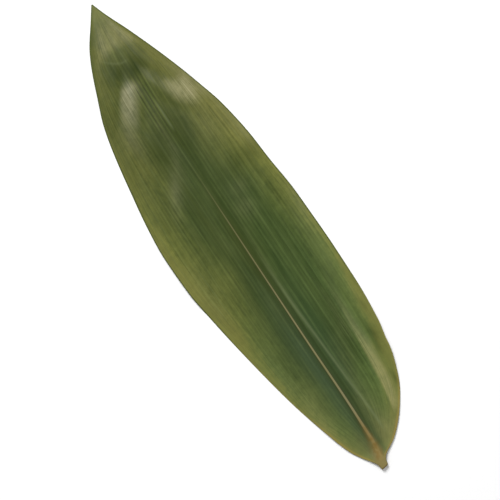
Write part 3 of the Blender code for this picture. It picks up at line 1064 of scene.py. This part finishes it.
def streak_shade(n, p):
    """How much streaks and furrows lighten and darken the colour, which is less near the stalk."""
    calm = n.times(n.sum(CALM_STRENGTH, (p.right, CALM_RIGHT)), n.step(CALM_BY_T, p.t))
    shade = n.sum(n.times(n.centred(p.streak), SHADE_BY_STREAK), (n.centred(p.hair), SHADE_BY_HAIR))
    shade = n.add(1.0, n.times(shade, n.math("SUBTRACT", 1.0, calm)))
    shade = n.sum(shade, (n.centred(p.mottle), SHADE_BY_MOTTLE))
    gathered = n.times(n.step(GATHERED_RISES_BY_T, p.t), n.step(GATHERED_SINKS_BY_T, p.t))
    gathered = n.times(gathered, n.step(GATHERED_OFF, p.off))
    depth = n.sum(n.times(n.step(OLIVE_SMOOTHS, p.olive), FURROW_DEPTH), (gathered, GATHERED_DEPTH))
    patchy = n.add(0.5, n.pattern(FURROW_NOISE, p.along, p.lane))
    shade = n.add(shade, n.times(p.furrow, n.times(depth, patchy)))
    return n.vector(shade, shade, shade)


def painted_sheen_and_shade(n, p, green):
    """Painted shade, then painted sheen whose colour changes along the leaf, then thin painted highlights."""
    green = n.mix(n.times(p.dark, SHADE_STRENGTH), green, SHADE_GREEN)
    uneven = n.times(n.centred(p.hair), SHEEN_BY_HAIR)
    uneven = n.sum(uneven, (n.centred(p.cloud), SHEEN_BY_CLOUD), (n.centred(p.mottle), SHEEN_BY_MOTTLE))
    sheen_share = n.times(p.pale, n.add(SHEEN_EVEN, n.sum(uneven, (p.furrow, SHEEN_BY_FURROW))))
    sheen_colour = n.mix(n.step(SHEEN_GREEN_BY_T, p.t), SHEEN_YELLOW, SHEEN_GREEN)
    sheen_colour = n.mix(n.step(SHEEN_GREY_BY_T, p.t), sheen_colour, SHEEN_GREY)
    tip_hue = n.math("MAXIMUM", n.step(SHEEN_TIP_BY_T, p.t), n.times(p.right, SHEEN_TIP_RIGHT))
    sheen_colour = n.mix(tip_hue, sheen_colour, SHEEN_TIP)
    green = n.mix(n.math("MULTIPLY", sheen_share, SHEEN_STRENGTH, clamp=True), green, sheen_colour)
    highlight_share = n.math("MULTIPLY", p.line, n.sum(HIGHLIGHT_EVEN, (p.hair, HIGHLIGHT_BY_HAIR)), clamp=True)
    green = n.mix(highlight_share, green, HIGHLIGHT_GREEN)
    return n.mix(n.times(n.step(TIP_END_BY_T, p.t), TIP_END_STRENGTH), green, TIP_END)


def margin_colours(n, p, green):
    """A thin line of painted shade inside the margin, wider left of the tip, and a yellow to tan rim by the
    stalk.
    """
    margin_shade = n.times(n.step(MARGIN_SHADE_EDGE, p.edge), n.step(MARGIN_SHADE_BY_T, p.t))
    tip_margin_shade = n.times(n.step(TIP_SHADE_EDGE, p.edge), n.step(TIP_SHADE_BY_T, p.t))
    tip_margin_shade = n.times(tip_margin_shade, n.step(TIP_SHADE_LEFT, p.across), TIP_SHADE_SHARE)
    green = n.mix(n.times(n.math("MAXIMUM", margin_shade, tip_margin_shade), MARGIN_SHADE_STRENGTH), green, MARGIN_SHADE)
    tan_rim = n.times(n.step(TAN_RIM_EDGE, p.edge), n.step(TAN_RIM_ALONG, p.along), p.right)
    green = n.mix(n.times(tan_rim, TAN_RIM_STRENGTH), green, CALLUS_TAN)
    rim = n.times(n.step(RIM_EDGE, p.edge), n.step(RIM_BY_T, p.t))
    thin_rim = n.times(n.step(THIN_RIM_EDGE, p.edge), n.step(THIN_RIM_BY_T, p.t), THIN_RIM_SHARE)
    return n.mix(n.times(n.math("MAXIMUM", rim, thin_rim), RIM_STRENGTH), green, YELLOW_EDGE)


def midrib_colours(n, p, green):
    """The midrib is pale with painted shade along its sides, widest at the stalk, and fades out past the
    middle.
    """
    from_rib = n.math("DIVIDE", p.off, n.times(n.curve(p.t, RIB_WIDTH), RIB_WIDTH_SCALE))
    # Painted shade along both sides of the midrib
    sides = n.times(n.step(RIB_SHADE_REACH, from_rib), n.step(RIB_SHADE_BY_T, p.t))
    sides = n.times(sides, n.step(RIB_SHADE_ALONG, p.along), RIB_SHADE_STRENGTH)
    green = n.mix(sides, green, RIB_SIDE_SHADE)
    rib = n.times(n.step(RIB_EDGE, from_rib), n.curve(p.t, RIB_SHOWS), RIB_STRENGTH)
    rib_colour = n.mix(n.step(RIB_PALE_BY_T, p.t), MIDRIB_BASE, MIDRIB_PALE)
    rib_colour = n.mix(n.times(n.step(RIB_STREAKS, p.hair), RIB_STREAKS_STRENGTH), rib_colour, OLIVE)
    return n.mix(rib, green, rib_colour)


def callus_share(n, p):
    """The callus where blade and stalk meet. It reaches furthest along the midrib, less on the right half."""
    narrowing = n.sum(CALLUS_NARROWS, (n.step(CALLUS_RIGHT, p.across), CALLUS_NARROWS_RIGHT))
    reach = n.add(n.times(p.off, narrowing), p.along)
    uneven = n.times(n.add(n.centred(p.mottle), n.centred(p.hair)), CALLUS_UNEVEN)
    return n.step(CALLUS_ENDS, n.add(reach, uneven))


def underside(n, p, gray, callus, callus_colour):
    """The underside is paler and matt, with its midrib and veins standing out."""
    below = n.mix(n.step(HALF_AND_HALF, p.soft), UNDER_GREEN, UNDER_DEEP)
    below = n.mix(n.times(n.step(VEIN_BELOW, p.vein_turn), VEIN_BELOW_STRENGTH), below, UNDER_RIB)
    below = n.mix(n.times(n.step(KEEL_OFF, p.off), n.step(KEEL_BY_T, p.t)), below, UNDER_RIB)
    below = n.mix(1.0, below, gray, "MULTIPLY")
    return n.mix(n.times(callus, CALLUS_BELOW_STRENGTH), below, callus_colour)


def skin_bump(n, p):
    """Fine veins between the ribs, small wrinkles along them, and short cross veins."""
    fine = n.math("COSINE", n.times(p.lane, 2 * math.pi / FINE_VEIN_MM))
    wrinkle = n.pattern(WRINKLE, p.along, p.lane)
    cross = n.pattern(CROSS_VEIN, p.along, p.lane)
    height = n.sum(n.times(fine, FINE_VEIN_BUMP), (p.hair, HAIR_BUMP))
    height = n.sum(height, (wrinkle, WRINKLE_BUMP), (cross, CROSS_VEIN_BUMP))
    bump = n.tree.nodes.new("ShaderNodeBump")
    bump.inputs["Strength"].default_value = 1.0
    bump.inputs["Distance"].default_value = BUMP_HEIGHT
    n.put(height, bump.inputs["Height"])
    n.put(bump.outputs["Normal"], n.shader.inputs["Normal"])


def leaf_skin():
    """The one material of the whole leaf, upper face, underside and stalk."""
    n = Nodes("leaf_skin")
    p = skin_places(n)
    gray = streak_shade(n, p)
    green = n.mix(1.0, blade_green(n, p), gray, "MULTIPLY")
    green = painted_sheen_and_shade(n, p, green)
    green = margin_colours(n, p, green)
    green = midrib_colours(n, p, green)

    callus = callus_share(n, p)
    callus_colour = n.mix(n.step(HALF_AND_HALF, p.mottle), CALLUS_BROWN, CALLUS_TAN)
    green = n.mix(n.times(callus, CALLUS_STRENGTH), green, callus_colour)
    green = n.mix(n.times(n.step(STALK_ALONG, p.along), STALK_STRENGTH), green, STALK_PALE)
    green = n.mix(n.times(n.step(CUT_ALONG, p.along), CUT_STRENGTH), green, DARK_CUT)

    under = n.step(UNDERSIDE, p.under)
    n.put(n.mix(under, green, underside(n, p, gray, callus, callus_colour)), n.shader.inputs["Base Color"])
    roughness = n.sum(SKIN_ROUGHNESS, (n.centred(p.streak), ROUGHER_BY_STREAK), (p.dark, ROUGHER_IN_DARK))
    roughness = n.sum(roughness, (under, ROUGHER_BELOW), (callus, ROUGHER_ON_CALLUS))
    n.put(roughness, n.shader.inputs["Roughness"])
    n.shader.inputs["Specular IOR Level"].default_value = SKIN_GLOSS
    skin_bump(n, p)
    return n.material


FLOOR_PALE = (0.90, 0.90, 0.90)
FLOOR_PALER = (0.92, 0.92, 0.92)
FLOOR_GRAIN = 900.0
FLOOR_ROUGHNESS = 0.9
FLOOR_GLOSS = 0.1
FLOOR_SIZE = 4.0


def floor_paint():
    """Plain, pale and matt."""
    n = Nodes("floor_paint")
    coords = n.tree.nodes.new("ShaderNodeTexCoord")
    grain = n.noise(coords.outputs["Object"], FLOOR_GRAIN, 2.0, 0.5)
    n.put(n.mix(grain, FLOOR_PALE, FLOOR_PALER), n.shader.inputs["Base Color"])
    n.shader.inputs["Roughness"].default_value = FLOOR_ROUGHNESS
    n.shader.inputs["Specular IOR Level"].default_value = FLOOR_GLOSS
    return n.material


leaf, shift = build_leaf()
leaf.data.materials.append(leaf_skin())
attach(leaf, "root")
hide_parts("leaf")

bpy.ops.mesh.primitive_plane_add(size=FLOOR_SIZE, location=(0, 0, 0))
floor = bpy.context.active_object
floor.name = "floor"
floor.data.materials.append(floor_paint())

# Camera: straight above, turned so that the leaf lies as in the photograph
PHOTO_RIGHT = Vector((-0.53605, -0.84419, 0))
PHOTO_UP = Vector((0.84419, -0.53605, 0))
VIEW_CENTRE = Vector((0.1282, -0.00145, 0.003))
VIEW_WIDTH = 0.250
LENS = 100.0
SENSOR = 36.0
camera_data = bpy.data.cameras.new("camera")
camera_data.lens = LENS
camera_data.sensor_width = SENSOR
camera = bpy.data.objects.new("camera", camera_data)
bpy.context.scene.collection.objects.link(camera)
away = VIEW_WIDTH * LENS / SENSOR
axes = Matrix((PHOTO_RIGHT, PHOTO_UP, Vector((0, 0, 1)))).transposed().to_4x4()
camera.matrix_world = Matrix.Translation(VIEW_CENTRE + shift + Vector((0, 0, away))) @ axes
bpy.context.scene.camera = camera

# Light: soft boxes, placed right of, above and over the photograph's middle, with size and power
SOFT_BOXES = {
    "key": (-0.55, 1.05, 1.23, 0.8, 32.0),
    "fill_left": (-1.3, -0.5, 1.1, 1.0, 2.5),
    "fill_right": (1.3, 0.1, 1.1, 1.0, 4.0),
}
STUDIO_LIGHT = 0.34

for name, (right, up, height, size, power) in SOFT_BOXES.items():
    data = bpy.data.lights.new(name, "AREA")
    data.shape = "DISK"
    data.size = size
    data.energy = power
    light = bpy.data.objects.new(name, data)
    light.location = PHOTO_RIGHT * right + PHOTO_UP * up + Vector((0, 0, height))
    light.rotation_euler = (-light.location).to_track_quat("-Z", "Y").to_euler()
    bpy.context.scene.collection.objects.link(light)

world = bpy.data.worlds.new("studio")
bpy.context.scene.world = world
world.use_nodes = True
backdrop = world.node_tree.nodes["Background"]
backdrop.inputs["Color"].default_value = (1, 1, 1, 1)
backdrop.inputs["Strength"].default_value = STUDIO_LIGHT
bpy.context.scene.view_settings.view_transform = "Standard"
